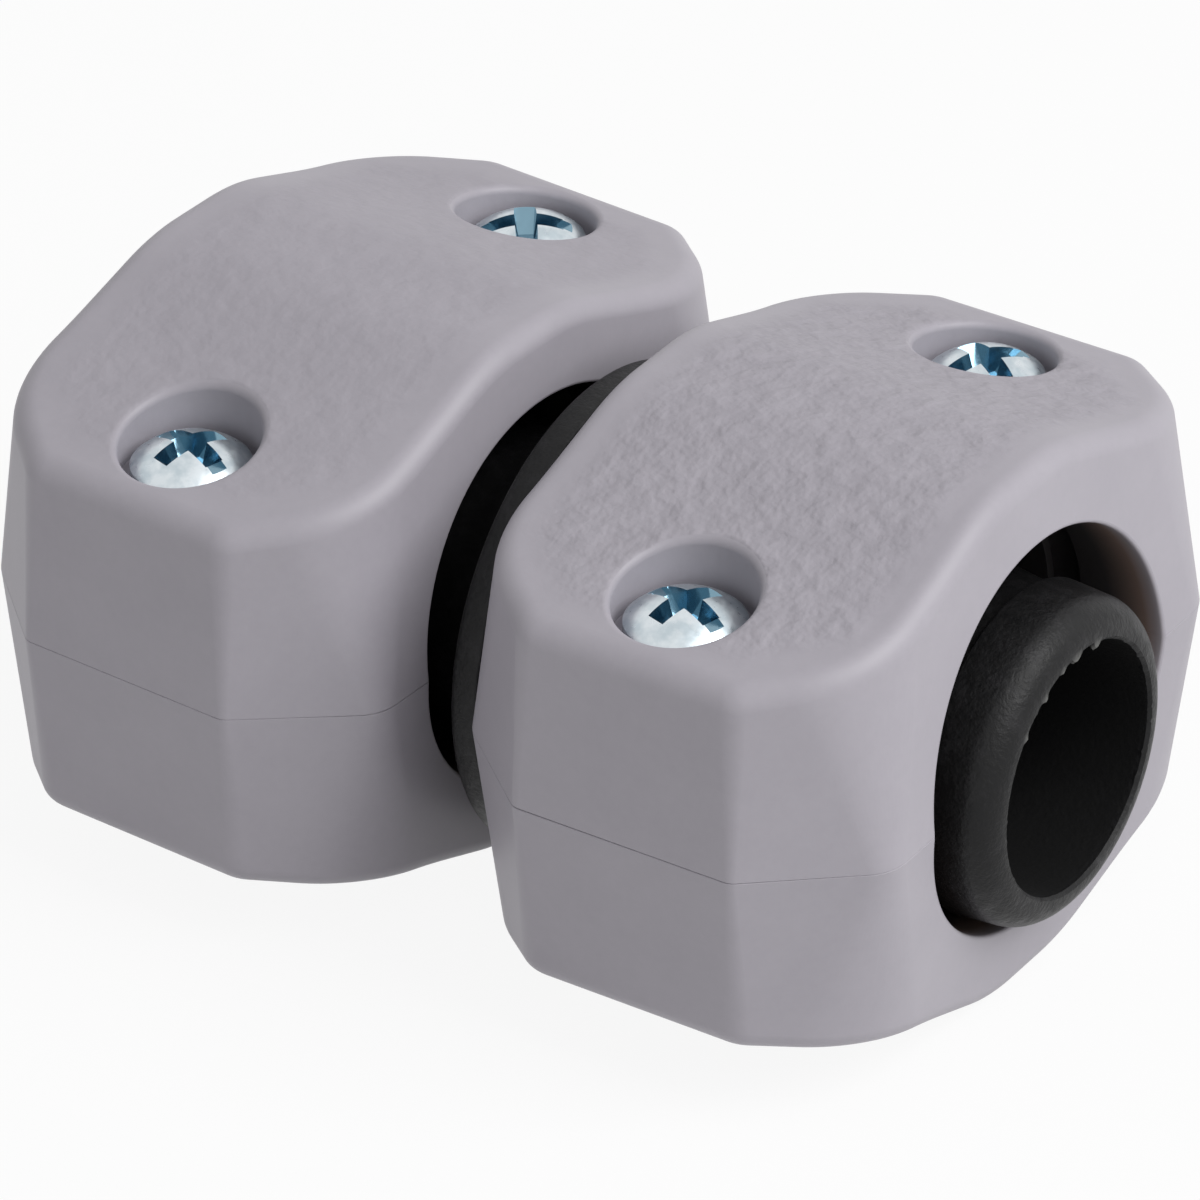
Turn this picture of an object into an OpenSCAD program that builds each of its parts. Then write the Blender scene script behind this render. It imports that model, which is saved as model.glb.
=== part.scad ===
// Hose mender: a barbed stem with a stop flange, held in two clamps of two halves each.
// Millimetres. The origin is the middle of the stem on its own axis, +X along the stem, +Z up.
// The clamps stand on the flat of their lower crests, and the stem lies low in their bores.

/* [Clamp body] */
// Length of a clamp along the hose, at its parting plane
clamp_len = 28; // [24:0.1:32]
// Width of a clamp across its two ears
clamp_width = 44; // [42.5:0.1:50]
// Height of a clamp's crest above its bore axis
crest_h = 16.5; // [15.5:0.1:19]
// Width of the flat along the crest
crest_flat = 3; // [2:0.5:4]
// Radius that rounds the crest into its flanks
crest_r = 12; // [10:0.5:14]
// Fall of the flanks from the crest, in degrees
flank_fall = 19.6; // [17:0.2:21]
// Distance from the bore axis to the foot of a flank
flank_foot = 12.8; // [12:0.1:14]
// Radius of the hollow between a flank and its ear
foot_r = 55; // [40:1:60]
// Fall of the ears' top faces, in degrees
ear_fall = 11; // [9:0.5:13]
// Plan corner cut, measured along the hose
corner_along = 6.9; // [5:0.05:8]
// Plan corner cut, measured across the hose
corner_across = 5.65; // [4.5:0.05:6.5]
// Draft of the long faces that the hose enters, in degrees
face_draft = 5; // [2:0.5:7]
// Draft of the ear ends and corner faces, in degrees
end_draft = 3.6; // [1:0.1:5]
// Radius of the rounded top edges
edge_r = 1.4; // [1:0.1:2]
// Radius of the upright edges beside a long face, at the parting plane
side_foot_r = 2.7; // [1.5:0.1:4]
// The same, where they meet the top face
side_top_r = 9; // [5:0.5:10]
// Radius of the upright edges beside an ear's end, at the parting plane
end_foot_r = 1; // [0.8:0.1:1.6]
// The same, where they meet the top face
end_top_r = 2.4; // [1.6:0.1:3]
// Gap between the two halves of a clamp
parting_gap = 0.2; // [0.1:0.05:0.6]

/* [Clamp bore] */
// Diameter of the bore that closes round the hose
bore_d = 23.9; // [23.4:0.1:24.6]
// Number of grip grooves inside each bore
groove_count = 4; // [2:1:5]
// Depth of a grip groove
groove_depth = 0.6; // [0.3:0.1:0.8]
// Width of a grip groove
groove_width = 2.2; // [1.5:0.1:3]
// Distance from one groove to the next
groove_pitch = 5; // [4:0.1:5.5]

/* [Stem] */
// Overall length of the stem
stem_len = 63; // [60:0.1:68]
// Diameter of the waterway through the stem
waterway_d = 15; // [13:0.1:16]
// Diameter of the barb crests
barb_d = 19.7; // [19.2:0.1:20]
// Diameter at the foot of each barb and beside the flange
root_d = 18.2; // [17.6:0.1:18.6]
// Number of barbs at each end
barb_count = 3; // [2:1:3]
// Distance from one barb crest to the next
barb_pitch = 5.6; // [4.5:0.1:6]
// Length of the rounded nose before the first barb crest
nose_len = 4.4; // [3.5:0.1:5]
// Radius that rounds the outside of the nose
nose_r = 2; // [0.8:0.1:2.2]
// Bevel round the waterway's mouths
mouth_bevel = 0.2; // [0.1:0.1:0.5]
// Diameter of the stop flange
flange_d = 29; // [27:0.1:29.2]
// Thickness of the stop flange
flange_t = 1.9; // [1.6:0.1:3]

/* [Screws] */
// Distance from an ear's end to its screw's axis
screw_inset = 6.7; // [6.2:0.1:7.2]
// Diameter of the counterbores that hold the heads
counterbore_d = 8.2; // [7.6:0.1:8.8]
// Height of the head seats above the bore axis
seat_h = 10; // [8:0.1:10.2]
// Diameter of the screw heads
head_d = 6.9; // [6.2:0.1:7.2]
// Height of the straight rim of a head
head_rim = 1; // [0.6:0.1:1.4]
// Height of a whole head
head_h = 2.4; // [2:0.1:2.8]
// Diameter of the screw shanks over their threads
shank_d = 3.5; // [3:0.1:4]
// Length of a screw under its head
shank_len = 19; // [16:0.5:20]
// Radial room round a shank in the upper half
shank_room = 0.25; // [0.15:0.05:0.4]
// Radial running room round a shank in the lower half
thread_room = 0.05; // [0.02:0.01:0.1]
// Width of the straight slot across a head
slot_w = 1; // [0.8:0.1:1.3]
// Depth of the straight slot across a head
slot_depth = 0.8; // [0.5:0.1:1.1]
// Span of the cross recess
cross_span = 4.4; // [3.6:0.1:4.8]
// Width of a wing of the cross recess
cross_w = 1.15; // [0.9:0.05:1.3]
// Depth of the cross recess
cross_depth = 1.6; // [1.2:0.1:1.8]

/* [How the clamps lie] */
// Room between the flange and the front clamp
front_room = 0.7; // [0.3:0.1:3]
// Least room between the flange and the rear clamp
rear_room = 0.12; // [0.08:0.02:2]
// Turn of the rear clamp about the upright, for each millimetre of play, in degrees
turn_per_play = -1.6; // [-2:0.1:0]
// Sideways shift of the rear clamp, as a share of the play
shift_share = -0.52; // [-0.55:0.01:0]
// Drop of the stem below the bore axis, as a share of the play
drop_share = 0.76; // [0.5:0.01:0.78]

/* [Hidden] */

$fn = 96;
BIG = 200;
POLYMER = [0.60, 0.59, 0.62];
STEM_BLACK = [0.07, 0.07, 0.08];
ZINC = [0.78, 0.82, 0.86];

// Clamp profile across the hose: crest flat, crest arc, flank, hollow, ear.
half_len = clamp_len / 2;
half_width = clamp_width / 2;
bore_r = bore_d / 2;
crest_end = [crest_flat / 2 + crest_r * sin(flank_fall), crest_h - crest_r * (1 - cos(flank_fall))];
foot = [flank_foot, crest_end[1] - (flank_foot - crest_end[0]) * tan(flank_fall)];
foot_tangent = foot_r * tan((flank_fall - ear_fall) / 2);
foot_start = foot - foot_tangent * [cos(flank_fall), -sin(flank_fall)];
foot_stop = foot + foot_tangent * [cos(ear_fall), -sin(ear_fall)];
foot_centre = foot_start + foot_r * [sin(flank_fall), cos(flank_fall)];
function profile_height(y) =
    let (d = abs(y))
    d < crest_flat / 2 ? crest_h :
    d < crest_end[0] ? crest_h - crest_r + sqrt(crest_r * crest_r - (d - crest_flat / 2) ^ 2) :
    d < foot_start[0] ? crest_end[1] - (d - crest_end[0]) * tan(flank_fall) :
    d < foot_stop[0] ? foot_centre[1] - sqrt(foot_r * foot_r - (d - foot_centre[0]) ^ 2) :
    foot_stop[1] - (d - foot_stop[0]) * tan(ear_fall);

// Play of the stem in the bores, and what follows from it.
barb_r = barb_d / 2;
flange_r = flange_d / 2;
play = bore_r - barb_r;
drop = drop_share * play;
rear_turn = turn_per_play * play;
rear_shift = shift_share * play;
front_x = flange_t / 2 + front_room + half_len;
rear_x = -flange_t / 2 - rear_room - half_len * cos(rear_turn) - flange_r * abs(sin(rear_turn));

screw_y = half_width - screw_inset;
shank_bore_r = shank_d / 2 + shank_room;
thread_bore_r = shank_d / 2 + thread_room;
screw_tip_h = seat_h - shank_len;
screw_hole_floor = screw_tip_h - 0.8;
// Turn of each screw's slot, as the screws were left.
SLOT_TURNS = [20, 62, -25, 40];

// How many steps make the rounded top edge, a side corner, an end corner, the crest's arc and the hollow's arc.
EDGE_STEPS = 6;
SIDE_STEPS = 7;
END_STEPS = 3;
CREST_STEPS = 6;
FOOT_STEPS = 5;

// Angle from the hose axis at which a corner face looks outwards.
corner_turn = atan2(corner_along, corner_across);
// Distance of a corner face from the clamp's middle, at the parting plane.
corner_reach = half_len * cos(corner_turn) + (half_width - corner_across) * sin(corner_turn);

// How far a drafted face with a rounded top edge stands in from its foot, at one angle of the rounding.
function inset(height, draft, turn) =
    (height - edge_r) * tan(draft) + edge_r / cos(draft) - edge_r * cos(turn);
// Angle of the rounding at step s, from the drafted face up to level.
function edge_turn(draft, s) = draft + (90 - draft) * s / EDGE_STEPS;

// Plan point where a long face, set in by a, meets a corner face, set in by b.
function side_corner(a, b) =
    [half_len - a, (corner_reach - b - (half_len - a) * cos(corner_turn)) / sin(corner_turn)];
// Plan point where a corner face meets an ear's end face, both set in by b.
function end_corner(b) =
    [(corner_reach - b - (half_width - b) * sin(corner_turn)) / cos(corner_turn), half_width - b];

// One quarter of the plan, from the clamp's middle to an ear's end: long face, side corner, end corner.
// The long face is set in by long_insets at its own points and by a at the corner, the others by b.
function quarter_plan(long_insets, a, b, side_r, end_r) = concat(
    [for (i = [0 : len(long_ys) - 1]) [half_len - long_insets[i], long_ys[i]]],
    [for (i = [0 : SIDE_STEPS]) let (turn = corner_turn * i / SIDE_STEPS)
        side_corner(a + side_r, b + side_r) + side_r * [cos(turn), sin(turn)]],
    [for (i = [0 : END_STEPS]) let (turn = corner_turn + (90 - corner_turn) * i / END_STEPS)
        end_corner(b + end_r) + end_r * [cos(turn), sin(turn)]]
);

// The height of the top face where a side corner's rounding starts, and at an ear's end.
side_corner_h = profile_height(half_width - corner_across - side_top_r * tan(corner_turn / 2));
end_corner_h = profile_height(half_width);
// The long face's points stop short of the corner's rounding where that is widest.
last_y = side_corner(
    inset(side_corner_h, face_draft, face_draft) + side_top_r,
    inset(end_corner_h, end_draft, end_draft) + side_top_r
)[1] - 0.3;
long_ys = [for (y = concat(
    [crest_flat / 2],
    [for (i = [1 : CREST_STEPS]) crest_flat / 2 + crest_r * sin(flank_fall * i / CREST_STEPS)],
    [for (i = [0 : FOOT_STEPS])
        foot_centre[0] - foot_r * sin(flank_fall + (ear_fall - flank_fall) * i / FOOT_STEPS)]
)) if (y < last_y) y];

// The foot of the drafted faces, on the parting plane.
base_z = parting_gap / 2;
base_ring = [for (p = quarter_plan(
    [for (y = long_ys) base_z * tan(face_draft)],
    base_z * tan(face_draft), base_z * tan(end_draft), side_foot_r, end_foot_r
)) [p[0], p[1], base_z]];
// The ring at step s of the rounded top edge, which follows the profile's height.
function edge_ring(s) =
    let (
        long_turn = edge_turn(face_draft, s),
        end_turn = edge_turn(end_draft, s),
        shrink = edge_r * (1 - cos(long_turn))
    )
    [for (p = quarter_plan(
        [for (y = long_ys) inset(profile_height(y), face_draft, long_turn)],
        inset(side_corner_h, face_draft, long_turn), inset(end_corner_h, end_draft, end_turn),
        side_top_r - shrink, end_top_r - shrink
    )) [p[0], p[1], profile_height(p[1]) - edge_r * (1 - sin(long_turn))]];

// A quarter ring mirrored into the side x > 0, from the near ear to the far one, and then into all round.
function turn_back(list) = [for (i = [len(list) - 1 : -1 : 0]) list[i]];
function half_ring(quarter) = concat(turn_back([for (p = quarter) [p[0], -p[1], p[2]]]), quarter);
function whole_ring(half) = concat(half, turn_back([for (p = half) [-p[0], p[1], p[2]]]));

// Half of a clamp's outside, above the parting plane, about the bore axis: rings joined by faces.
module half_outside() {
    rings = concat([base_ring], [for (s = [0 : EDGE_STEPS]) edge_ring(s)]);
    side = 2 * len(base_ring);
    around = 2 * side;
    top = (len(rings) - 1) * around;
    polyhedron(
        points = [for (ring = rings) each whole_ring(half_ring(ring))],
        faces = concat(
            [[for (i = [0 : around - 1]) i]],
            [for (k = [0 : len(rings) - 2], i = [0 : around - 1]) let (next = (i + 1) % around)
                [k * around + i, (k + 1) * around + i, (k + 1) * around + next, k * around + next]],
            [for (i = [0 : side - 2])
                [top + around - 1 - i, top + around - 2 - i, top + i + 1, top + i]]
        ),
        convexity = 4
    );
}

// The bore that closes round the hose, with its grip grooves.
module hose_bore() {
    rotate([0, 90, 0]) cylinder(r = bore_r, h = BIG, center = true);
    for (i = [0 : groove_count - 1])
        translate([(i - (groove_count - 1) / 2) * groove_pitch, 0, 0]) rotate([0, 90, 0])
            cylinder(r = bore_r + groove_depth, h = groove_width, center = true);
}

module at_screws() {
    for (side = [-1, 1]) translate([0, side * screw_y, 0]) children();
}

module upper_half() {
    difference() {
        half_outside();
        hose_bore();
        at_screws() cylinder(r = shank_bore_r, h = BIG);
        at_screws() translate([0, 0, seat_h]) cylinder(d = counterbore_d, h = BIG);
    }
}

module lower_half() {
    difference() {
        mirror([0, 0, 1]) half_outside();
        hose_bore();
        at_screws() translate([0, 0, screw_hole_floor]) cylinder(r = thread_bore_r, h = BIG);
    }
}

// Half of the stem's section: radius outwards, length along the stem.
module stem_profile() {
    stem_half = stem_len / 2;
    waterway_r = waterway_d / 2;
    root_r = root_d / 2;
    tip_r = barb_r - 0.15;
    round_r = min(nose_r, tip_r - waterway_r - mouth_bevel);
    crests = [for (i = [0 : barb_count - 1]) stem_half - nose_len - i * barb_pitch];
    // The tube, its flange and its nose.
    translate([waterway_r, 0]) square([root_r - waterway_r, stem_half - nose_len]);
    translate([waterway_r, 0]) square([flange_r - waterway_r, flange_t / 2]);
    polygon([
        [waterway_r, crests[0]], [barb_r, crests[0]],
        [tip_r, stem_half - round_r], [tip_r - round_r, stem_half - round_r], [tip_r - round_r, stem_half],
        [waterway_r + mouth_bevel, stem_half], [waterway_r, stem_half - mouth_bevel]
    ]);
    translate([tip_r - round_r, stem_half - round_r]) intersection() {
        circle(round_r);
        square(2 * round_r);
    }
    // Each further barb rises from the last one's foot, and ends in a step that faces the flange.
    for (i = [1 : barb_count - 1])
        polygon([[waterway_r, crests[i]], [barb_r, crests[i]], [root_r, crests[i - 1]], [waterway_r, crests[i - 1]]]);
}

module stem() {
    color(STEM_BLACK) rotate([0, 90, 0]) rotate_extrude()
        for (end = [0, 1]) mirror([0, end]) stem_profile();
}

// One screw, its axis upright and its head's seat at the origin.
module screw(slot_turn) {
    dome_rise = head_h - head_rim;
    dome_r = (head_d * head_d / 4 + dome_rise * dome_rise) / (2 * dome_rise);
    color(ZINC) {
        rotate([0, 0, slot_turn]) difference() {
            rotate_extrude() intersection() {
                translate([0, head_h - dome_r]) circle(dome_r);
                square([head_d / 2, head_h]);
            }
            translate([-head_d, -slot_w / 2, head_h - slot_depth]) cube([2 * head_d, slot_w, head_h]);
            for (turn = [0, 90]) rotate([0, 0, turn])
                translate([-cross_span / 2, -cross_w / 2, head_h - cross_depth])
                    cube([cross_span, cross_w, head_h]);
        }
        rotate_extrude() polygon([
            [0, 0.1], [shank_d / 2, 0.1], [shank_d / 2, shank_d - shank_len],
            [shank_d / 8, -shank_len], [0, -shank_len]
        ]);
    }
}

// Where each clamp lies: the front one squarely, the rear one turned and shifted by its play.
module at_front() {
    translate([front_x, 0, drop]) children();
}
module at_rear() {
    translate([rear_x, rear_shift, drop]) rotate([0, 0, rear_turn]) children();
}

module front_lower_half() {
    color(POLYMER) at_front() lower_half();
}
module front_upper_half() {
    color(POLYMER) at_front() upper_half();
}
module rear_lower_half() {
    color(POLYMER) at_rear() lower_half();
}
module rear_upper_half() {
    color(POLYMER) at_rear() upper_half();
}
module front_near_screw() {
    at_front() translate([0, -screw_y, seat_h]) screw(SLOT_TURNS[0]);
}
module front_far_screw() {
    at_front() translate([0, screw_y, seat_h]) screw(SLOT_TURNS[1]);
}
module rear_near_screw() {
    at_rear() translate([0, -screw_y, seat_h]) screw(SLOT_TURNS[2]);
}
module rear_far_screw() {
    at_rear() translate([0, screw_y, seat_h]) screw(SLOT_TURNS[3]);
}

stem();
front_lower_half();
front_upper_half();
rear_lower_half();
rear_upper_half();
front_near_screw();
front_far_screw();
rear_near_screw();
rear_far_screw();
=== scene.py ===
import math

import bmesh
import bpy
from mathutils import Matrix, Vector, noise


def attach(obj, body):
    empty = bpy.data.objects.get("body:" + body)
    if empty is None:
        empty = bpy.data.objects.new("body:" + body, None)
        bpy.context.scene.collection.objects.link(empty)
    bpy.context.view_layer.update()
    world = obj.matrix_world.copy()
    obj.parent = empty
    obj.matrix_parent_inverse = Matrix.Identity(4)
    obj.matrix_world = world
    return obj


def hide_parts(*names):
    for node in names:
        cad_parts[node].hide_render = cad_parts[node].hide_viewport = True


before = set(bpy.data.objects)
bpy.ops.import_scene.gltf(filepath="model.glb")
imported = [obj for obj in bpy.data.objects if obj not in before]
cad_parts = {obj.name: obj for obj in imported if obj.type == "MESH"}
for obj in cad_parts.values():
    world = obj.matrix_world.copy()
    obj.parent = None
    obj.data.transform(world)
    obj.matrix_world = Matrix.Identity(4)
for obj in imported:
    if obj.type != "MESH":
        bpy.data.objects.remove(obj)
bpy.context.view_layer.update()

# Driving sizes in millimetres, as the model has them

CLAMP_LEN = 28.0
CLAMP_WIDTH = 44.0
CREST_H = 16.5
CREST_FLAT = 3.0
CREST_R = 12.0
FLANK_FALL = math.radians(19.6)
FLANK_FOOT = 12.8
FOOT_R = 55.0
EAR_FALL = math.radians(11)
CORNER_ALONG = 6.9
CORNER_ACROSS = 5.65
FACE_DRAFT = math.radians(5)
END_DRAFT = math.radians(3.6)
EDGE_R = 1.4
SIDE_FOOT_R = 2.7
SIDE_TOP_R = 9.0
END_FOOT_R = 1.0
END_TOP_R = 2.4

BORE_R = 23.9 / 2
GROOVE_COUNT = 4
GROOVE_DEPTH = 0.6
GROOVE_WIDTH = 2.2
GROOVE_PITCH = 5.0

STEM_LEN = 63.0
WATERWAY_R = 15.0 / 2
BARB_R = 19.7 / 2
ROOT_R = 18.2 / 2
BARB_COUNT = 3
BARB_PITCH = 5.6
NOSE_LEN = 4.4
NOSE_R = 2.0
MOUTH_BEVEL = 0.2
FLANGE_R = 29.0 / 2
FLANGE_T = 1.9
# Angle round the mouth in degrees from +Y towards +Z, half width in degrees, height
FLASH_NUBS = ((77, 3.0, 0.42), (93, 4.0, 0.38), (104, 2.0, 0.22), (119, 2.6, 0.36), (138, 2.0, 0.25))

SCREW_Y = 30.6 / 2
COUNTERBORE_R = 8.2 / 2
SEAT_H = 10.0
HEAD_R = 6.9 / 2
HEAD_RIM = 1.0
HEAD_H = 2.4
SHANK_R = 3.5 / 2
SHANK_LEN = 19.0
SHANK_ROOM = 0.25
THREAD_ROOM = 0.05
THREAD_PITCH = 1.27
CORE_R = 1.25
SLOT_W = 1.0
SLOT_DEPTH = 0.8
CROSS_SPAN = 4.4
CROSS_W = 1.15
CROSS_DEPTH = 1.6

FRONT_ROOM = 0.7
REAR_ROOM = 0.12
PLAY = BORE_R - BARB_R
DROP = 0.76 * PLAY
REAR_TURN = math.radians(-1.6 * PLAY)
REAR_SHIFT = -0.52 * PLAY

# Fine edges that only the looks need
PARTING_LINE = 0.03
PARTING_CHAMFER = 0.04
RIM_R = 0.5
BORE_LIP = 0.22
# Depths inside the bore with extra rings, over which the bore's painted shade fades in
BORE_SHADE_DEPTHS = (0.5, 1.1, 1.8, 2.6, 3.4, 4.2)

HALF_LEN = CLAMP_LEN / 2
HALF_WIDTH = CLAMP_WIDTH / 2
FRONT_X = FLANGE_T / 2 + FRONT_ROOM + HALF_LEN
REAR_X = (
    -FLANGE_T / 2 - REAR_ROOM - HALF_LEN * math.cos(REAR_TURN) - FLANGE_R * abs(math.sin(REAR_TURN))
)
REST_Z = DROP - CREST_H

MILLIMETRES = Matrix.Scale(0.001, 4)
AT_FRONT = MILLIMETRES @ Matrix.Translation((FRONT_X, 0, DROP))
AT_REAR = (
    MILLIMETRES @ Matrix.Translation((REAR_X, REAR_SHIFT, DROP)) @ Matrix.Rotation(REAR_TURN, 4, "Z")
)
LOWER = Matrix.Scale(-1, 4, (0, 0, 1))


# Mesh helpers

def new_object(name, points, faces):
    """A mesh object in millimetres, about the origin."""
    mesh = bpy.data.meshes.new(name)
    mesh.from_pydata([tuple(p) for p in points], [], faces)
    mesh.validate()
    obj = bpy.data.objects.new(name, mesh)
    bpy.context.scene.collection.objects.link(obj)
    return obj


def face_outwards(obj):
    """Closed mesh faces all look outwards."""
    work = bmesh.new()
    work.from_mesh(obj.data)
    bmesh.ops.recalc_face_normals(work, faces=work.faces)
    work.to_mesh(obj.data)
    work.free()


def rings_mesh(name, rings):
    """Rings of points joined in order, with a face over each end."""
    count = len(rings[0])
    points = [p for ring in rings for p in ring]
    faces = [list(range(count))[::-1]]
    for k in range(len(rings) - 1):
        for i in range(count):
            after = (i + 1) % count
            faces.append([k * count + i, k * count + after, (k + 1) * count + after, (k + 1) * count + i])
    faces.append([(len(rings) - 1) * count + i for i in range(count)])
    obj = new_object(name, points, faces)
    face_outwards(obj)
    return obj


def cut(obj, *cutters):
    """Takes the cutters away from obj, and deletes them."""
    for cutter in cutters:
        boolean = obj.modifiers.new("cut", "BOOLEAN")
        boolean.operation = "DIFFERENCE"
        boolean.solver = "EXACT"
        boolean.object = cutter
        bpy.context.view_layer.update()
        ready = obj.evaluated_get(bpy.context.evaluated_depsgraph_get())
        mesh = bpy.data.meshes.new_from_object(ready)
        obj.modifiers.clear()
        obj.data = mesh
        bpy.data.objects.remove(cutter)


def finish_surface(obj, sharp_angle=25):
    """Smooth shading that keeps edges sharper than the angle, weighted by face area."""
    for polygon in obj.data.polygons:
        polygon.use_smooth = True
    obj.data.set_sharp_from_angle(angle=math.radians(sharp_angle))
    weighted = obj.modifiers.new("weighted_normals", "WEIGHTED_NORMAL")
    weighted.keep_sharp = True
    weighted.weight = 80


def mark(obj, name, amount):
    """Stores a number from 0 to 1 at each corner of each face, which the material reads by its name."""
    mesh = obj.data
    values = mesh.attributes.new(name, "FLOAT", "CORNER").data
    for face in mesh.polygons:
        for loop in face.loop_indices:
            values[loop].value = amount(face, *mesh.vertices[mesh.loops[loop].vertex_index].co)


def ramp(value, low, high):
    """From 0 at low to 1 at high, with soft ends."""
    share = min(1.0, max(0.0, (value - low) / (high - low)))
    return share * share * (3 - 2 * share)


def place(obj, matrix, material, body, node):
    """Moves the finished mesh to its place in the frame, in metres, ties it to its body, and hides the model's part
    named node.
    """
    obj.data.transform(matrix)
    if matrix.determinant() < 0:
        obj.data.flip_normals()
    obj.data.materials.clear()
    obj.data.materials.append(material)
    finish_surface(obj)
    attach(obj, body)
    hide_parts(node)


# Clamp halves

CORNER_TURN = math.atan2(CORNER_ALONG, CORNER_ACROSS)
CORNER_REACH = HALF_LEN * math.cos(CORNER_TURN) + (HALF_WIDTH - CORNER_ACROSS) * math.sin(CORNER_TURN)
CREST_END_Y = CREST_FLAT / 2 + CREST_R * math.sin(FLANK_FALL)
CREST_END_Z = CREST_H - CREST_R * (1 - math.cos(FLANK_FALL))
FOOT_Z = CREST_END_Z - (FLANK_FOOT - CREST_END_Y) * math.tan(FLANK_FALL)
FOOT_TANGENT = FOOT_R * math.tan((FLANK_FALL - EAR_FALL) / 2)
FOOT_START_Y = FLANK_FOOT - FOOT_TANGENT * math.cos(FLANK_FALL)
FOOT_START_Z = FOOT_Z + FOOT_TANGENT * math.sin(FLANK_FALL)
FOOT_STOP_Y = FLANK_FOOT + FOOT_TANGENT * math.cos(EAR_FALL)
FOOT_STOP_Z = FOOT_Z - FOOT_TANGENT * math.sin(EAR_FALL)
FOOT_CENTRE_Y = FOOT_START_Y + FOOT_R * math.sin(FLANK_FALL)
FOOT_CENTRE_Z = FOOT_START_Z + FOOT_R * math.cos(FLANK_FALL)

EDGE_STEPS = 10
SIDE_STEPS = 16
END_STEPS = 7
CORNER_FACE_STEPS = 8
ROW_SPACING = 0.45
TOP_COLUMNS = 44


def profile_height(y):
    """Height of a clamp's top face above the bore axis: crest flat, crest arc, flank, hollow, ear."""
    d = abs(y)
    if d < CREST_FLAT / 2:
        return CREST_H
    if d < CREST_END_Y:
        return CREST_H - CREST_R + math.sqrt(CREST_R**2 - (d - CREST_FLAT / 2) ** 2)
    if d < FOOT_START_Y:
        return CREST_END_Z - (d - CREST_END_Y) * math.tan(FLANK_FALL)
    if d < FOOT_STOP_Y:
        return FOOT_CENTRE_Z - math.sqrt(FOOT_R**2 - (d - FOOT_CENTRE_Y) ** 2)
    return FOOT_STOP_Z - (d - FOOT_STOP_Y) * math.tan(EAR_FALL)


def inset(height, draft, turn):
    """How far a drafted face with a rounded top edge stands in from its foot."""
    return (height - EDGE_R) * math.tan(draft) + EDGE_R / math.cos(draft) - EDGE_R * math.cos(turn)


def side_corner(a, b):
    """Plan point where a long face, set in by a, meets a corner face, set in by b."""
    x = HALF_LEN - a
    return x, (CORNER_REACH - b - x * math.cos(CORNER_TURN)) / math.sin(CORNER_TURN)


def end_corner(b):
    """Plan point where a corner face meets an ear's end face, both set in by b."""
    y = HALF_WIDTH - b
    return (CORNER_REACH - b - y * math.sin(CORNER_TURN)) / math.cos(CORNER_TURN), y


SIDE_CORNER_H = profile_height(HALF_WIDTH - CORNER_ACROSS - SIDE_TOP_R * math.tan(CORNER_TURN / 2))
END_CORNER_H = profile_height(HALF_WIDTH)
LAST_Y = side_corner(
    inset(SIDE_CORNER_H, FACE_DRAFT, FACE_DRAFT) + SIDE_TOP_R,
    inset(END_CORNER_H, END_DRAFT, END_DRAFT) + SIDE_TOP_R,
)[1] - 0.3
ROWS = math.floor(LAST_Y / ROW_SPACING)
LONG_YS = [LAST_Y * (i + 0.5) / ROWS for i in range(ROWS)]


def quarter_plan(long_insets, a, b, side_r, end_r):
    """One quarter of the plan, from the clamp's middle to an ear's end."""
    plan = [(HALF_LEN - long_inset, y) for long_inset, y in zip(long_insets, LONG_YS)]
    x, y = side_corner(a + side_r, b + side_r)
    for i in range(SIDE_STEPS + 1):
        turn = CORNER_TURN * i / SIDE_STEPS
        plan.append((x + side_r * math.cos(turn), y + side_r * math.sin(turn)))
    side_end = plan[-1]
    x, y = end_corner(b + end_r)
    bend_start = (x + end_r * math.cos(CORNER_TURN), y + end_r * math.sin(CORNER_TURN))
    for i in range(1, CORNER_FACE_STEPS):
        share = i / CORNER_FACE_STEPS
        plan.append(tuple(p + (q - p) * share for p, q in zip(side_end, bend_start)))
    for i in range(END_STEPS + 1):
        turn = CORNER_TURN + (math.pi / 2 - CORNER_TURN) * i / END_STEPS
        plan.append((x + end_r * math.cos(turn), y + end_r * math.sin(turn)))
    return plan


def ring_round(quarter):
    """A quarter's points mirrored to go all round, from the near ear on the side x > 0."""
    half = [(x, -y, z) for x, y, z in reversed(quarter)] + quarter
    return half + [(-x, y, z) for x, y, z in reversed(half)]


def foot_ring(height, chamfer, name):
    """The outline just above the parting plane: the two halves touch in some places and gape in others."""
    plan = quarter_plan([chamfer] * ROWS, chamfer, chamfer, SIDE_FOOT_R, END_FOOT_R)
    seed = len(name)
    ring = []
    for x, y, z in ring_round([(x, y, 0) for x, y in plan]):
        open_here = ramp(noise.noise(Vector((x * 0.11, y * 0.11, seed))), -0.25, 0.35)
        ring.append((x, y, PARTING_LINE / 2 * (0.12 + open_here) + height))
    return ring


def edge_ring(step):
    """The ring at one step of the rounded top edge, which follows the profile's height."""
    share = step / EDGE_STEPS
    long_turn = FACE_DRAFT + (math.pi / 2 - FACE_DRAFT) * share
    end_turn = END_DRAFT + (math.pi / 2 - END_DRAFT) * share
    shrink = EDGE_R * (1 - math.cos(long_turn))
    plan = quarter_plan(
        [inset(profile_height(y), FACE_DRAFT, long_turn) for y in LONG_YS],
        inset(SIDE_CORNER_H, FACE_DRAFT, long_turn),
        inset(END_CORNER_H, END_DRAFT, end_turn),
        SIDE_TOP_R - shrink,
        END_TOP_R - shrink,
    )
    return ring_round([(x, y, profile_height(y) - EDGE_R * (1 - math.sin(long_turn))) for x, y in plan])


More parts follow.
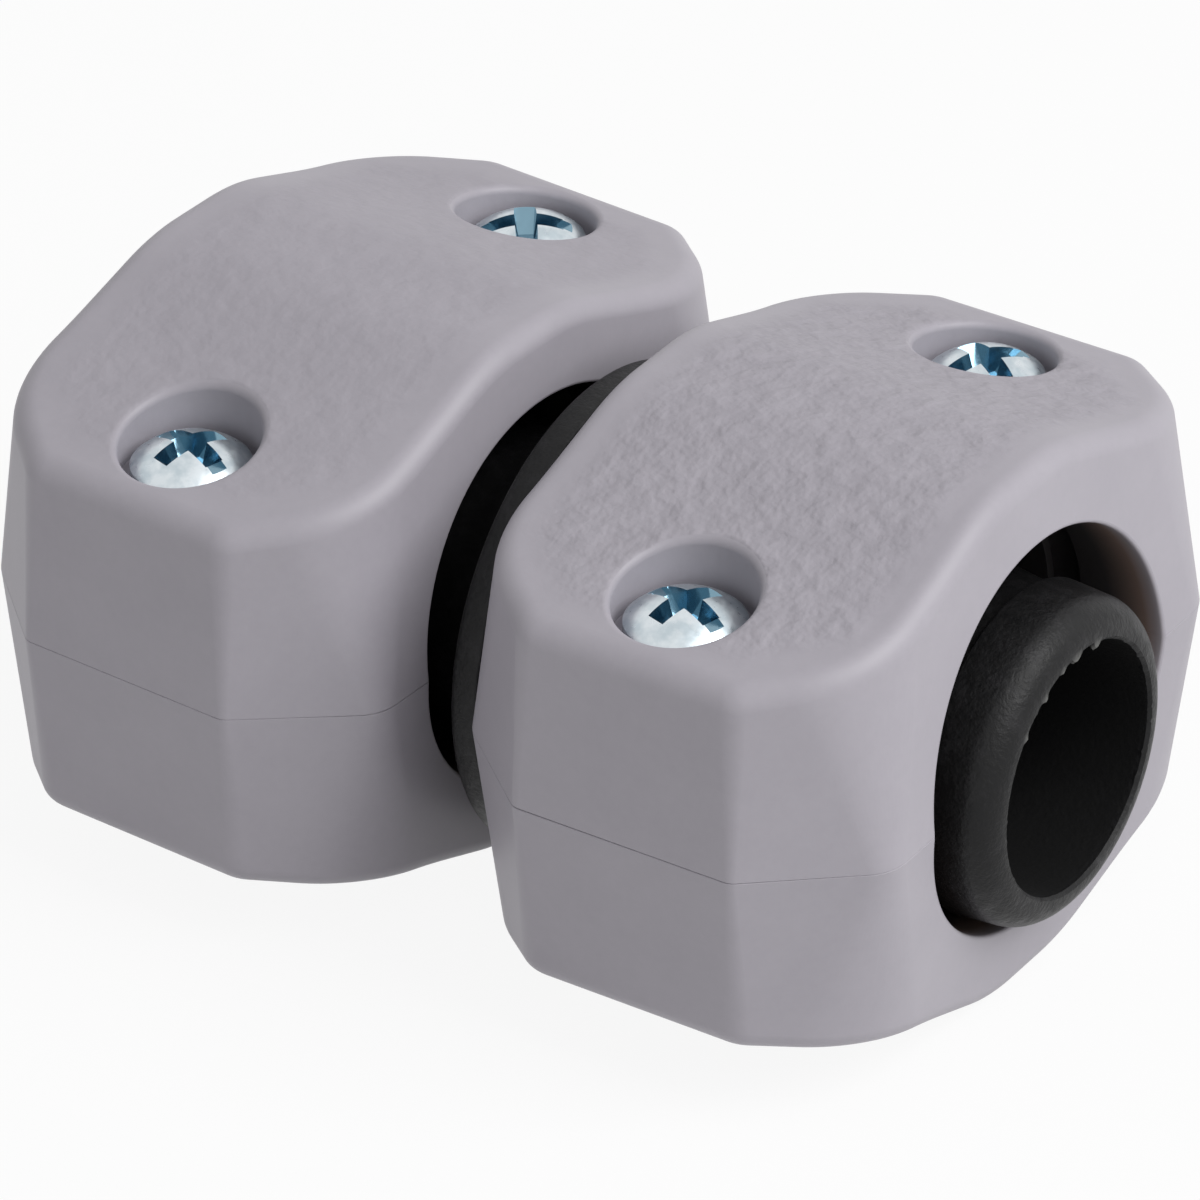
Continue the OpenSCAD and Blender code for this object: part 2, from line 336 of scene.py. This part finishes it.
def clamp_outside(name):
    """Half of a clamp's outside above the parting plane, about the bore axis."""
    rings = [foot_ring(0, PARTING_CHAMFER, name), foot_ring(PARTING_CHAMFER, 0, name)]
    rings += [edge_ring(step) for step in range(EDGE_STEPS + 1)]
    around = len(rings[0])
    side = around // 2
    points = [p for ring in rings for p in ring]
    faces = [list(range(around))[::-1]]
    for k in range(len(rings) - 1):
        for i in range(around):
            after = (i + 1) % around
            faces.append([k * around + i, k * around + after, (k + 1) * around + after, (k + 1) * around + i])
    # The top face is a grid of rows across the clamp, each between two points of the last ring.
    top = (len(rings) - 1) * around
    rows = []
    for i in range(side):
        right, left = Vector(points[top + i]), Vector(points[top + around - 1 - i])
        inner = []
        for column in range(1, TOP_COLUMNS):
            points.append(right.lerp(left, column / TOP_COLUMNS))
            inner.append(len(points) - 1)
        rows.append([top + i] + inner + [top + around - 1 - i])
    for row, after in zip(rows, rows[1:]):
        for column in range(TOP_COLUMNS):
            faces.append([row[column], after[column], after[column + 1], row[column + 1]])
    obj = new_object(name, points, faces)
    face_outwards(obj)
    return obj


def arc(steps):
    """Angles from 0 to a right angle."""
    return [math.pi / 2 * i / steps for i in range(steps + 1)]


def bore_cutter():
    """The bore with its grip grooves, and a fine rounded lip that follows the drafted faces."""
    stations = []
    for i in range(GROOVE_COUNT):
        middle = (i - (GROOVE_COUNT - 1) / 2) * GROOVE_PITCH
        low, high = middle - GROOVE_WIDTH / 2, middle + GROOVE_WIDTH / 2
        stations += [(low, BORE_R), (low, BORE_R + GROOVE_DEPTH), (high, BORE_R + GROOVE_DEPTH), (high, BORE_R)]
    count = 224
    rings = []

    def ring(shape):
        """shape gives the place along the bore and the radius for each angle round it."""
        made = []
        for i in range(count):
            # The points straddle the parting plane, so that none lies in it.
            turn = 2 * math.pi * (i + 0.5) / count
            x, radius = shape(turn)
            made.append((x, radius * math.cos(turn), radius * math.sin(turn)))
        rings.append(made)

    def wall(end, depth):
        def shape(turn):
            face = HALF_LEN - BORE_R * abs(math.sin(turn)) * math.tan(FACE_DRAFT)
            return end * (face - depth), BORE_R

        return shape

    def lip(end, angle):
        radius = BORE_R + BORE_LIP * (1 - math.cos(angle))
        back = BORE_LIP * (1 - math.sin(angle))

        def shape(turn):
            face = HALF_LEN - radius * abs(math.sin(turn)) * math.tan(FACE_DRAFT)
            return end * (face - back), radius

        return shape

    ring(lambda turn: (-HALF_LEN - 5, BORE_R + BORE_LIP))
    for angle in reversed(arc(4)):
        ring(lip(-1, angle))
    # Rings where the bore's painted shade fades in.
    for depth in BORE_SHADE_DEPTHS:
        ring(wall(-1, depth))
    for x, radius in stations:
        ring(lambda turn, x=x, radius=radius: (x, radius))
    for depth in reversed(BORE_SHADE_DEPTHS):
        ring(wall(1, depth))
    for angle in arc(4):
        ring(lip(1, angle))
    ring(lambda turn: (HALF_LEN + 5, BORE_R + BORE_LIP))
    return rings_mesh("bore_cutter", rings)


def counterbore_cutter(y):
    """A counterbore with a rounded rim that follows the top face."""
    count = 96
    rings = []

    def ring(shape):
        made = []
        for i in range(count):
            turn = 2 * math.pi * i / count
            radius, z = shape(turn)
            made.append((radius * math.cos(turn), y + radius * math.sin(turn), z))
        rings.append(made)

    def rim(radius, rise):
        return lambda turn: (radius, profile_height(y + radius * math.sin(turn)) + rise)

    ring(lambda turn: (COUNTERBORE_R, SEAT_H))
    for i in range(9):
        angle = math.radians(75) * i / 8
        ring(rim(COUNTERBORE_R + RIM_R * (1 - math.cos(angle)), RIM_R * (math.sin(angle) - 1)))
    # The rounding runs out through the surface along its last tangent, which cuts cleanly.
    ring(rim(COUNTERBORE_R + RIM_R * 1.24, RIM_R * 0.1))
    ring(lambda turn: (COUNTERBORE_R + RIM_R * 1.24, CREST_H + 5))
    return rings_mesh("counterbore_cutter", rings)


def upright_cutter(y, radius, low, high):
    """A plain round hole along a screw's axis."""
    count = 64
    rings = []
    for z in (low, high):
        turns = [2 * math.pi * i / count for i in range(count)]
        rings.append([(radius * math.cos(turn), y + radius * math.sin(turn), z) for turn in turns])
    return rings_mesh("hole_cutter", rings)


def mark_clamp(obj):
    """Marks where the top's moulded skin shows, and how deep a point lies inside the bore, for the painted shade
    there.
    """
    def skin(face, x, y, z):
        if face.normal.z < 0.8 or z < profile_height(y) - 0.3:
            return 0.0
        draft = math.tan(FACE_DRAFT)
        from_side = HALF_LEN - z * draft - abs(x)
        from_corner = CORNER_REACH - z * draft - abs(x) * math.cos(CORNER_TURN) - abs(y) * math.sin(CORNER_TURN)
        from_end = HALF_WIDTH - z * draft - abs(y)
        return ramp(min(from_side, from_corner, from_end), EDGE_R + 0.2, EDGE_R + 2.2)

    def shade(face, x, y, z):
        # How much painted shade a corner gets: none outside the bore or on the parting face, full from 4 mm in.
        middle = face.center
        if middle.z < 0.2 and face.normal.z < -0.9:
            return 0.0
        if math.hypot(middle.y, middle.z) > BORE_R + GROOVE_DEPTH:
            return 0.0
        depth = HALF_LEN - z * math.tan(FACE_DRAFT) - abs(x)
        return min(1.0, max(0.0, depth / 4.0))

    mark(obj, "skin", skin)
    mark(obj, "shade", shade)


def upper_half(name):
    obj = clamp_outside(name)
    cut(obj, bore_cutter())
    for y in (-SCREW_Y, SCREW_Y):
        cut(obj, counterbore_cutter(y))
        cut(obj, upright_cutter(y, SHANK_R + SHANK_ROOM, -2, SEAT_H + 1))
    mark_clamp(obj)
    return obj


def lower_half(name):
    """Made upright like an upper half, so that its place mirrors it to below the parting plane."""
    obj = clamp_outside(name)
    cut(obj, bore_cutter())
    for y in (-SCREW_Y, SCREW_Y):
        cut(obj, upright_cutter(y, SHANK_R + THREAD_ROOM, -2, SHANK_LEN - SEAT_H + 0.8))
    mark_clamp(obj)
    return obj


# Turned pieces

def lathe(name, outline, count):
    """Turns an outline of (radius, place along Z) about Z; points on the axis close the ends."""
    points = []
    rows = []
    for radius, z in outline:
        if radius < 1e-9:
            points.append((0, 0, z))
            rows.append([len(points) - 1])
            continue
        start = len(points)
        for i in range(count):
            turn = 2 * math.pi * i / count
            points.append((radius * math.cos(turn), radius * math.sin(turn), z))
        rows.append(list(range(start, start + count)))
    faces = []
    closed = len(rows[0]) > 1
    pairs = list(zip(rows, rows[1:])) + ([(rows[-1], rows[0])] if closed else [])
    for low, high in pairs:
        for i in range(count):
            after = (i + 1) % count
            corners = [low[i % len(low)], low[after % len(low)], high[after % len(high)], high[i % len(high)]]
            faces.append(list(dict.fromkeys(corners)))
    obj = new_object(name, points, faces)
    face_outwards(obj)
    return obj


def bend(centre, radius, start, stop, steps):
    """Points along an arc of an outline, angles in degrees from the radius's direction."""
    points = []
    for i in range(steps + 1):
        turn = math.radians(start + (stop - start) * i / steps)
        points.append((centre[0] + radius * math.cos(turn), centre[1] + radius * math.sin(turn)))
    return points


def stem_outline():
    """The stem's whole section: radius outwards, length along the stem, anticlockwise."""
    half = STEM_LEN / 2
    tip_r = BARB_R - 0.15
    edge = 0.12
    crests = [half - NOSE_LEN - i * BARB_PITCH for i in range(BARB_COUNT)]
    upper = []
    # From the flange out to the nose, then in at the mouth.
    upper += bend((FLANGE_R - 0.35, FLANGE_T / 2 - 0.35), 0.35, 0, 90, 5)
    upper += [(ROOT_R + 0.4, FLANGE_T / 2)] + bend((ROOT_R + 0.4, FLANGE_T / 2 + 0.4), 0.4, 270, 180, 5)[1:]
    for crest in reversed(crests[1:]):
        upper += [(ROOT_R, crest - 0.02), (BARB_R - edge, crest)]
        upper += bend((BARB_R - edge, crest + edge), edge, -90, 0, 3)[1:]
    last = crests[0]
    upper += [(ROOT_R, last - 0.02), (BARB_R - edge, last)]
    upper += bend((BARB_R - edge, last + edge), edge, -90, 0, 3)[1:]
    round_r = min(NOSE_R, tip_r - WATERWAY_R - MOUTH_BEVEL)
    upper += bend((tip_r - round_r, half - round_r), round_r, 0, 90, 14)
    # The ring 0.6 mm in holds the waterway's painted shade at full.
    upper += [(WATERWAY_R, half - MOUTH_BEVEL), (WATERWAY_R, half - 0.6), (WATERWAY_R, half / 2)]
    lower = [(radius, -z) for radius, z in reversed(upper)]
    return upper + lower


def make_stem(material):
    obj = lathe("stem_moulding", stem_outline(), 256)
    # Ragged flash round the waterway's mouths, with a few torn nubs at the front one.
    flash = {}
    for vertex in obj.data.vertices:
        radius = math.hypot(vertex.co.x, vertex.co.y)
        depth = STEM_LEN / 2 - abs(vertex.co.z)
        if radius > WATERWAY_R + MOUTH_BEVEL + 0.02 or depth > MOUTH_BEVEL + 0.02:
            continue
        tooth = max(0.0, noise.noise(vertex.co * 4.5) - 0.3) * 0.35
        turn = math.degrees(math.atan2(-vertex.co.x, vertex.co.y))
        for at, width, height in FLASH_NUBS:
            away = abs(turn - at) / width
            if vertex.co.z > 0 and away < 1:
                tooth = max(tooth, height * (1 - away**2))
                flash[vertex.index] = 1 - away**2
        vertex.co.x *= 1 - tooth / radius
        vertex.co.y *= 1 - tooth / radius
    torn = obj.data.attributes.new("flash", "FLOAT", "POINT")
    for index, amount in flash.items():
        torn.data[index].value = amount

    # How much painted shade a point gets: full from 0.5 mm inside the waterway.
    def shade(face, x, y, z):
        return (math.hypot(x, y) < WATERWAY_R + 0.01) * ramp(STEM_LEN / 2 - abs(z), 0.1, 0.5)

    mark(obj, "shade", shade)
    place(
        obj, MILLIMETRES @ Matrix.Rotation(math.pi / 2, 4, "Y"), material,
        "stem_and_lower_halves", "stem",
    )


def block(low, high):
    """The corners and faces of a plain block, for cutting."""
    corners = [
        (x, y, z) for z in (low[2], high[2])
        for x, y in ((low[0], low[1]), (high[0], low[1]), (high[0], high[1]), (low[0], high[1]))
    ]
    return rings_mesh("recess_cutter", [corners[:4], corners[4:]])


def wing_cutter(turn):
    """One bar of the cross recess, whose ends and sides slope in towards its floor."""
    floor = HEAD_H - CROSS_DEPTH
    rings = []
    for span, width, z in (
        (CROSS_SPAN * 0.40, CROSS_W * 0.75, floor), (CROSS_SPAN * 1.42, CROSS_W * 1.25, HEAD_H + 0.3)
    ):
        rings.append([
            (-span / 2, -width / 2, z), (span / 2, -width / 2, z), (span / 2, width / 2, z), (-span / 2, width / 2, z)
        ])
    cutter = rings_mesh("wing_cutter", rings)
    cutter.data.transform(Matrix.Rotation(turn, 4, "Z"))
    return cutter


def screw_head(name):
    """A pan head on its seat, with the slot and cross recess cut in."""
    dome_rise = HEAD_H - HEAD_RIM
    dome_r = (HEAD_R**2 + dome_rise**2) / (2 * dome_rise)
    widest = math.degrees(math.asin(HEAD_R / dome_r))
    edge = 0.15
    outline = [(0, 0), (HEAD_R - 0.25, 0)] + bend((HEAD_R - edge, edge), edge, -90, 0, 4)
    outline += bend((0, HEAD_H - dome_r), dome_r, 90 - widest, 90, 14)[:-1] + [(0, HEAD_H)]
    head = lathe(name, outline, 96)
    slot = block((-HEAD_R - 1, -SLOT_W / 2, HEAD_H - SLOT_DEPTH), (HEAD_R + 1, SLOT_W / 2, HEAD_H + 1))
    cut(head, slot, wing_cutter(0), wing_cutter(math.pi / 2))

    # The faces inside the recess, which the plate paints darker as painted shade.
    def recess(face, x, y, z):
        out = math.hypot(face.center.x, face.center.y)
        dome = HEAD_H - dome_r + math.sqrt(dome_r**2 - min(out, HEAD_R) ** 2)
        return out < HEAD_R - 0.2 and face.center.z > 0.05 and dome - face.center.z > 0.06

    mark(head, "recess", recess)
    return head


def screw_shank(name):
    """The shank's core with its pointed end."""
    tip = -SHANK_LEN
    outline = [(0, 0.2), (SHANK_R, 0.2), (SHANK_R, -1.2), (CORE_R, -1.6), (CORE_R, tip + 3), (0.3, tip), (0, tip)]
    return lathe(name, outline[::-1], 48)


def screw_thread(name):
    """One ridge wound round the core, which fades out at the point."""
    steps_per_turn = 40
    start, stop = -1.4, -SHANK_LEN + 0.6
    count = round((start - stop) / THREAD_PITCH * steps_per_turn)
    points = []
    for i in range(count + 1):
        turn = 2 * math.pi * i / steps_per_turn
        z = start + (stop - start) * i / count
        left = z + SHANK_LEN
        shrink = min(1.0, left / 3)
        root = max(0.28, CORE_R * shrink) - 0.08
        crest = max(root + 0.02, (SHANK_R - 0.01) * min(1.0, 0.25 + left / 3.4))
        half = 0.34 * min(1.0, i / 12)
        for radius, rise in ((root, half), (crest, 0.04), (crest, -0.04), (root, -half)):
            points.append((radius * math.cos(turn), -radius * math.sin(turn), z + rise))
    faces = [[0, 1, 2, 3], [count * 4 + k for k in (3, 2, 1, 0)]]
    for i in range(count):
        for k in range(4):
            after = (k + 1) % 4
            faces.append([i * 4 + k, i * 4 + after, (i + 1) * 4 + after, (i + 1) * 4 + k])
    obj = new_object(name, points, faces)
    face_outwards(obj)
    return obj


def join(name, objects):
    """One object of several meshes, all in the same millimetres."""
    work = bmesh.new()
    for obj in objects:
        work.from_mesh(obj.data)
        bpy.data.objects.remove(obj)
    mesh = bpy.data.meshes.new(name)
    work.to_mesh(mesh)
    work.free()
    joined = bpy.data.objects.new(name, mesh)
    bpy.context.scene.collection.objects.link(joined)
    return joined


def make_screw(node, clamp, y, slot_turn, material):
    screw = join(
        node + "_detail", [screw_head("head_part"), screw_shank("shank_part"), screw_thread("thread_part")]
    )
    seat = Matrix.Translation((0, y, SEAT_H)) @ Matrix.Rotation(math.radians(slot_turn), 4, "Z")
    place(screw, clamp @ seat, material, node, node)


# Materials

class Nodes:
    """Short calls for building one material's node tree."""

    def __init__(self, name):
        self.material = bpy.data.materials.new(name)
        self.material.use_nodes = True
        self.tree = self.material.node_tree
        self.shader = self.tree.nodes["Principled BSDF"]
        self.place = self.add("ShaderNodeTexCoord").outputs["Object"]

    def add(self, kind, **settings):
        node = self.tree.nodes.new(kind)
        for key, value in settings.items():
            setattr(node, key, value)
        return node

    def link(self, output, socket):
        self.tree.links.new(output, socket)

    def noise(self, scale, detail=3.0, roughness=0.55, distortion=0.0):
        """Noise at so many waves in a metre."""
        node = self.add("ShaderNodeTexNoise")
        node.inputs["Scale"].default_value = scale
        node.inputs["Detail"].default_value = detail
        node.inputs["Roughness"].default_value = roughness
        node.inputs["Distortion"].default_value = distortion
        self.link(self.place, node.inputs["Vector"])
        return node.outputs["Fac"]

    def stored(self, name):
        """A number that the mesh's points hold."""
        return self.add("ShaderNodeAttribute", attribute_name=name).outputs["Fac"]

    def spread(self, value, low, high, to_low=0.0, to_high=1.0):
        """Stretches a value from one range to another, and stops at its ends."""
        node = self.add("ShaderNodeMapRange")
        self.link(value, node.inputs["Value"])
        for socket, number in zip(("From Min", "From Max", "To Min", "To Max"), (low, high, to_low, to_high)):
            node.inputs[socket].default_value = number
        return node.outputs["Result"]

    def math(self, operation, a, b):
        node = self.add("ShaderNodeMath", operation=operation)
        for socket, value in zip(node.inputs, (a, b)):
            if isinstance(value, (int, float)):
                socket.default_value = value
            else:
                self.link(value, socket)
        return node.outputs["Value"]

    def blend(self, share, a, b):
        """A colour between a and b."""
        node = self.add("ShaderNodeMix", data_type="RGBA")
        self.link(share, node.inputs["Factor"])
        for socket, value in zip((node.inputs[6], node.inputs[7]), (a, b)):
            if isinstance(value, tuple):
                socket.default_value = (*value, 1)
            else:
                self.link(value, socket)
        return node.outputs[2]

    def bump(self, height, distance, strength=1.0, normal=None):
        node = self.add("ShaderNodeBump")
        node.inputs["Distance"].default_value = distance
        node.inputs["Strength"].default_value = strength
        self.link(height, node.inputs["Height"])
        if normal is not None:
            self.link(normal, node.inputs["Normal"])
        return node.outputs["Normal"]


def grey_polymer(name, relief, blotch_tone):
    """Moulded grey polymer: a softly blotched matt skin on the tops, satin on the drafted faces, and painted shade
    inside the bore.
    """
    n = Nodes(name)
    skin = n.stored("skin")
    shade = n.stored("shade")
    mottle = n.noise(170, 4, 0.6)
    fine = n.noise(1700, 3, 0.6)
    tone = n.math("ADD", n.math("MULTIPLY", mottle, 0.65), n.math("MULTIPLY", fine, 0.35))
    plain = n.blend(n.spread(tone, 0.36, 0.64), (0.363, 0.344, 0.383), (0.385, 0.365, 0.405))
    blotch = n.spread(n.noise(760, 2, 0.5), 0.32, 0.68)
    faded = n.math("MULTIPLY", n.math("SUBTRACT", 1.0, blotch), n.math("MULTIPLY", skin, blotch_tone))
    grey = n.blend(faded, plain, (0.24, 0.226, 0.254))
    # Painted shade inside the bore: browner near its mouth, near black deeper in.
    bore_shade_edge = n.blend(n.spread(shade, 0.0, 0.30), grey, (0.27, 0.19, 0.16))
    colour = n.blend(n.spread(shade, 0.22, 0.85), bore_shade_edge, (0.060, 0.055, 0.057))
    n.link(colour, n.shader.inputs["Base Color"])
    rough = n.math("ADD", n.spread(skin, 0, 1, 0.42, 0.56), n.math("MULTIPLY", fine, 0.08))
    n.link(rough, n.shader.inputs["Roughness"])
    # Soft blotches under a millimetre across, with a finer grain over them.
    lumps = n.math("ADD", n.math("MULTIPLY", blotch, 0.7), n.math("MULTIPLY", n.noise(2600, 2), 0.3))
    swell = n.bump(n.noise(150, 2), 0.00010, 0.22)
    grain = n.bump(n.noise(4200, 2), 0.000007, 0.5, swell)
    n.link(n.bump(n.math("MULTIPLY", lumps, skin), relief, 0.8, grain), n.shader.inputs["Normal"])
    n.shader.inputs["Specular IOR Level"].default_value = 0.42
    return n.material


def black_polymer():
    """Moulded black polymer with a fine grain, and painted shade, near black, inside the waterway."""
    n = Nodes("black_polymer_moulded")
    scuff = n.spread(n.noise(700, 5, 0.7), 0.50, 0.75)
    shade = n.stored("shade")
    outside = n.blend(scuff, (0.006, 0.006, 0.0065), (0.015, 0.0145, 0.016))
    worn = n.blend(n.stored("flash"), outside, (0.11, 0.11, 0.105))
    # Painted shade: near black inside the waterway's mouths.
    n.link(n.blend(shade, worn, (0.0008, 0.0008, 0.001)), n.shader.inputs["Base Color"])
    rough = n.spread(n.noise(1300, 4), 0.3, 0.7, 0.38, 0.52)
    n.link(n.math("ADD", rough, n.math("MULTIPLY", shade, 0.4)), n.shader.inputs["Roughness"])
    grain = n.bump(n.noise(3300, 3, 0.6), 0.00007, 0.9)
    n.link(n.bump(n.noise(420, 2), 0.00005, 0.35, grain), n.shader.inputs["Normal"])
    n.shader.inputs["Specular IOR Level"].default_value = 0.24
    return n.material


def zinc_steel():
    """Bright zinc plate with a bluish cast and fine press marks, with painted shade, darker and bluer, in the recess.
    """
    n = Nodes("zinc_steel_bright")
    recess = n.stored("recess")
    cast = n.spread(n.noise(900, 3), 0.38, 0.62)
    plate = n.blend(cast, (0.50, 0.57, 0.61), (0.66, 0.71, 0.74))
    # Painted shade: the recess is a darker blue.
    n.link(n.blend(recess, plate, (0.20, 0.33, 0.41)), n.shader.inputs["Base Color"])
    dome = n.spread(n.noise(2200, 3), 0.3, 0.7, 0.26, 0.40)
    n.link(n.math("SUBTRACT", dome, n.math("MULTIPLY", recess, 0.14)), n.shader.inputs["Roughness"])
    n.link(n.bump(n.noise(1900, 2), 0.00001, 0.6), n.shader.inputs["Normal"])
    n.shader.inputs["Metallic"].default_value = 1
    return n.material


# The object's pieces

GREY = {
    "front": grey_polymer("grey_polymer_grained", 0.00020, 0.22),
    "rear": grey_polymer("grey_polymer_fine", 0.00009, 0.10),
}
BLACK = black_polymer()
ZINC = zinc_steel()

make_stem(BLACK)
for end, clamp in (("front", AT_FRONT), ("rear", AT_REAR)):
    place(
        upper_half(f"{end}_upper_moulding"), clamp, GREY[end],
        f"{end}_upper_half", f"{end}_upper_half",
    )
    place(
        lower_half(f"{end}_lower_moulding"), clamp @ LOWER, GREY[end],
        "stem_and_lower_halves", f"{end}_lower_half",
    )
for node, clamp, side, slot_turn in (
    ("front_near_screw", AT_FRONT, -1, -16),
    ("front_far_screw", AT_FRONT, 1, 62),
    ("rear_near_screw", AT_REAR, -1, -13),
    ("rear_far_screw", AT_REAR, 1, 40),
):
    make_screw(node, clamp, side * SCREW_Y, slot_turn, ZINC)


# Floor, lights and camera

def seen_share(tree):
    """1 for what the camera sees, straight or in a gloss, and 0 for the light on the object."""
    rays = tree.nodes.new("ShaderNodeLightPath")
    total = rays.outputs["Is Camera Ray"]
    for name in ("Is Glossy Ray", "Is Transmission Ray"):
        step = tree.nodes.new("ShaderNodeMath")
        step.operation = "MAXIMUM"
        tree.links.new(total, step.inputs[0])
        tree.links.new(rays.outputs[name], step.inputs[1])
        total = step.outputs[0]
    return total


def make_floor():
    """A wide pale floor that the camera sees as near white, with the object's soft shadow kept."""
    size = 3000
    corners = [(-size, -size, REST_Z), (size, -size, REST_Z), (size, size, REST_Z), (-size, size, REST_Z)]
    floor = new_object("floor", corners, [[0, 1, 2, 3]])
    floor.data.transform(MILLIMETRES)
    material = bpy.data.materials.new("pale_floor")
    material.use_nodes = True
    nodes = material.node_tree.nodes
    links = material.node_tree.links
    shader = nodes["Principled BSDF"]
    shader.inputs["Base Color"].default_value = (0.8, 0.8, 0.8, 1)
    shader.inputs["Roughness"].default_value = 0.9
    glow = nodes.new("ShaderNodeEmission")
    glow.inputs["Color"].default_value = (1, 1, 1, 1)
    share = nodes.new("ShaderNodeMath")
    share.operation = "MULTIPLY"
    share.inputs[1].default_value = 0.91
    links.new(seen_share(material.node_tree), share.inputs[0])
    mix = nodes.new("ShaderNodeMixShader")
    links.new(share.outputs[0], mix.inputs[0])
    links.new(shader.outputs[0], mix.inputs[1])
    links.new(glow.outputs[0], mix.inputs[2])
    links.new(mix.outputs[0], nodes["Material Output"].inputs["Surface"])
    floor.data.materials.append(material)


def area_light(name, place_mm, size_mm, power, towards=(0, 0, 0)):
    """A soft rectangular lamp that looks at a point near the object."""
    data = bpy.data.lights.new(name, "AREA")
    data.shape = "RECTANGLE"
    data.size, data.size_y = size_mm[0] / 1000, size_mm[1] / 1000
    data.energy = power
    lamp = bpy.data.objects.new(name, data)
    spot = Vector(place_mm)
    lamp.location = spot / 1000
    lamp.rotation_euler = (Vector(towards) - spot).to_track_quat("-Z", "Y").to_euler()
    bpy.context.scene.collection.objects.link(lamp)


def make_world():
    world = bpy.data.worlds.new("studio")
    world.use_nodes = True
    background = world.node_tree.nodes["Background"]
    background.inputs["Color"].default_value = (1, 1, 1, 1)
    background.inputs["Strength"].default_value = 0.42
    seen = world.node_tree.nodes.new("ShaderNodeBackground")
    seen.inputs["Color"].default_value = (1, 1, 1, 1)
    seen.inputs["Strength"].default_value = 1.0
    mix = world.node_tree.nodes.new("ShaderNodeMixShader")
    links = world.node_tree.links
    links.new(seen_share(world.node_tree), mix.inputs[0])
    links.new(background.outputs[0], mix.inputs[1])
    links.new(seen.outputs[0], mix.inputs[2])
    links.new(mix.outputs[0], world.node_tree.nodes["World Output"].inputs["Surface"])
    bpy.context.scene.world = world


CAMERA_AZIMUTH = math.radians(34.62)
CAMERA_ELEVATION = math.radians(32.13)
CAMERA_ROLL = math.radians(-1.19)
CAMERA_DISTANCE = 550.1
CAMERA_LENS = 291.8
# The point at the middle of the picture, in millimetres from the stem's middle
CAMERA_AIM = Vector((1.05, -2.31, 2.04))


def make_camera():
    data = bpy.data.cameras.new("camera")
    data.lens = CAMERA_LENS
    data.sensor_width = 36
    data.clip_start, data.clip_end = 0.01, 20
    camera = bpy.data.objects.new("camera", data)
    azimuth, elevation = CAMERA_AZIMUTH, CAMERA_ELEVATION
    back = Vector((
        math.sin(azimuth) * math.cos(elevation), -math.cos(azimuth) * math.cos(elevation), math.sin(elevation)
    ))
    right = Vector((math.cos(azimuth), math.sin(azimuth), 0))
    up = back.cross(right)
    leaned_right = right * math.cos(CAMERA_ROLL) + up * math.sin(CAMERA_ROLL)
    leaned_up = up * math.cos(CAMERA_ROLL) - right * math.sin(CAMERA_ROLL)
    turn = Matrix((leaned_right, leaned_up, back)).transposed()
    spot = (CAMERA_AIM + back * CAMERA_DISTANCE) / 1000
    camera.matrix_world = Matrix.Translation(spot) @ turn.to_4x4()
    bpy.context.scene.collection.objects.link(camera)
    bpy.context.scene.camera = camera


make_floor()
make_world()
make_camera()
area_light("key", (400, 40, 420), (400, 400), 2.75)
bpy.context.scene.view_settings.view_transform = "Standard"

bpy.context.view_layer.update()
